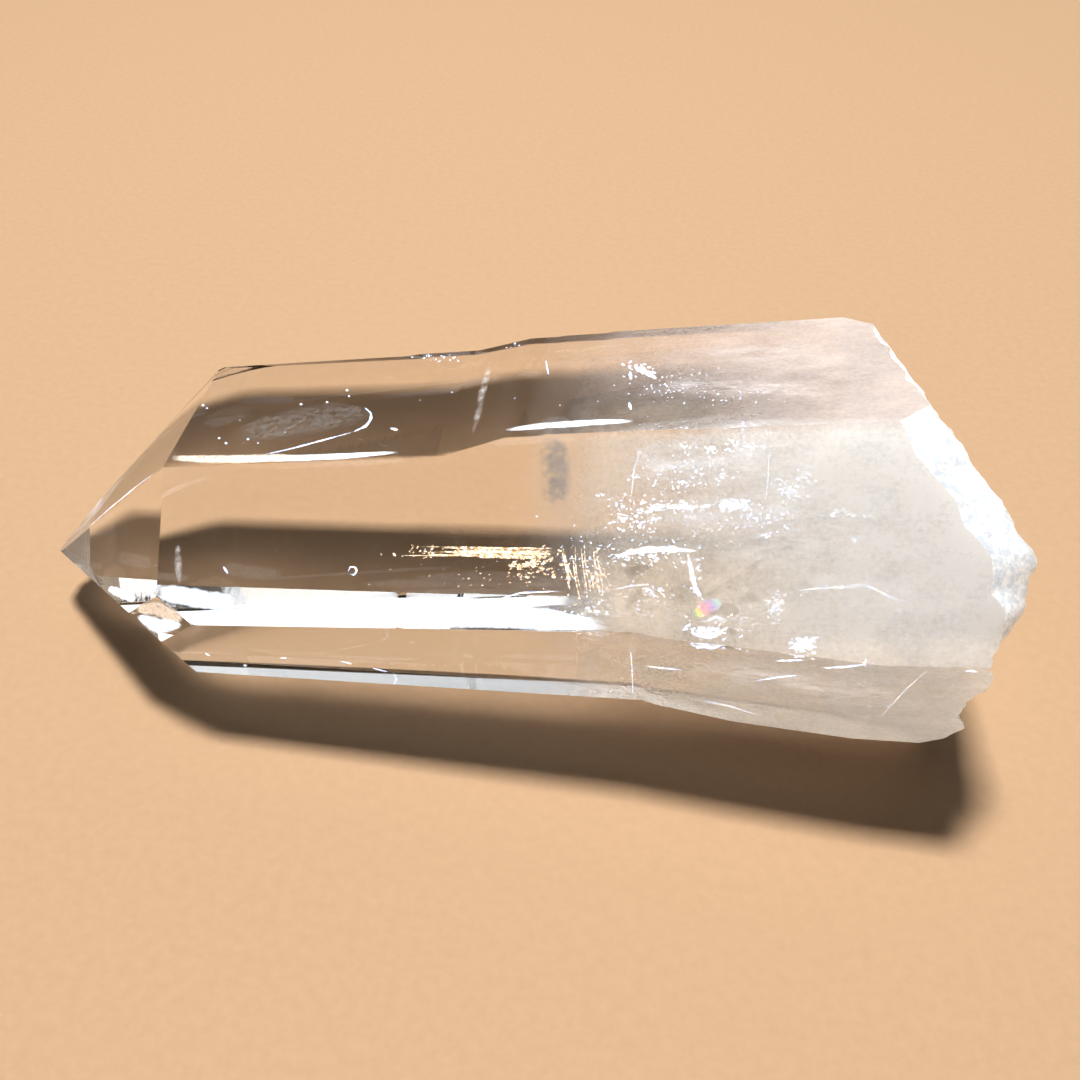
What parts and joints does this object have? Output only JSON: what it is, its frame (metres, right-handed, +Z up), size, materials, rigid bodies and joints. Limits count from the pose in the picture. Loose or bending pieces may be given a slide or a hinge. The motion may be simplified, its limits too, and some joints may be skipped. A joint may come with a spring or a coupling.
{
  "type": "quartz crystal point",
  "caption": "Natural clear quartz point lying on its side, with a flat-faced tip, long flat sides, a growth step and a rough broken milky base.",
  "frame": {"origin": "middle of the box that holds the crystal, at the height of the surface it rests on", "axes": "+X along the crystal from its tip to its broken base, -Y towards the side that the picture is taken from, +Z up"},
  "size_m": [0.0994, 0.0436, 0.0373],
  "materials": {
    "clear_quartz": "clear and glossy on the crystal faces, milky towards the base, frosted on the break"
  },
  "bodies": {
    "root": {"quartz_crystal": "clear_quartz"}
  },
  "joints": []
}
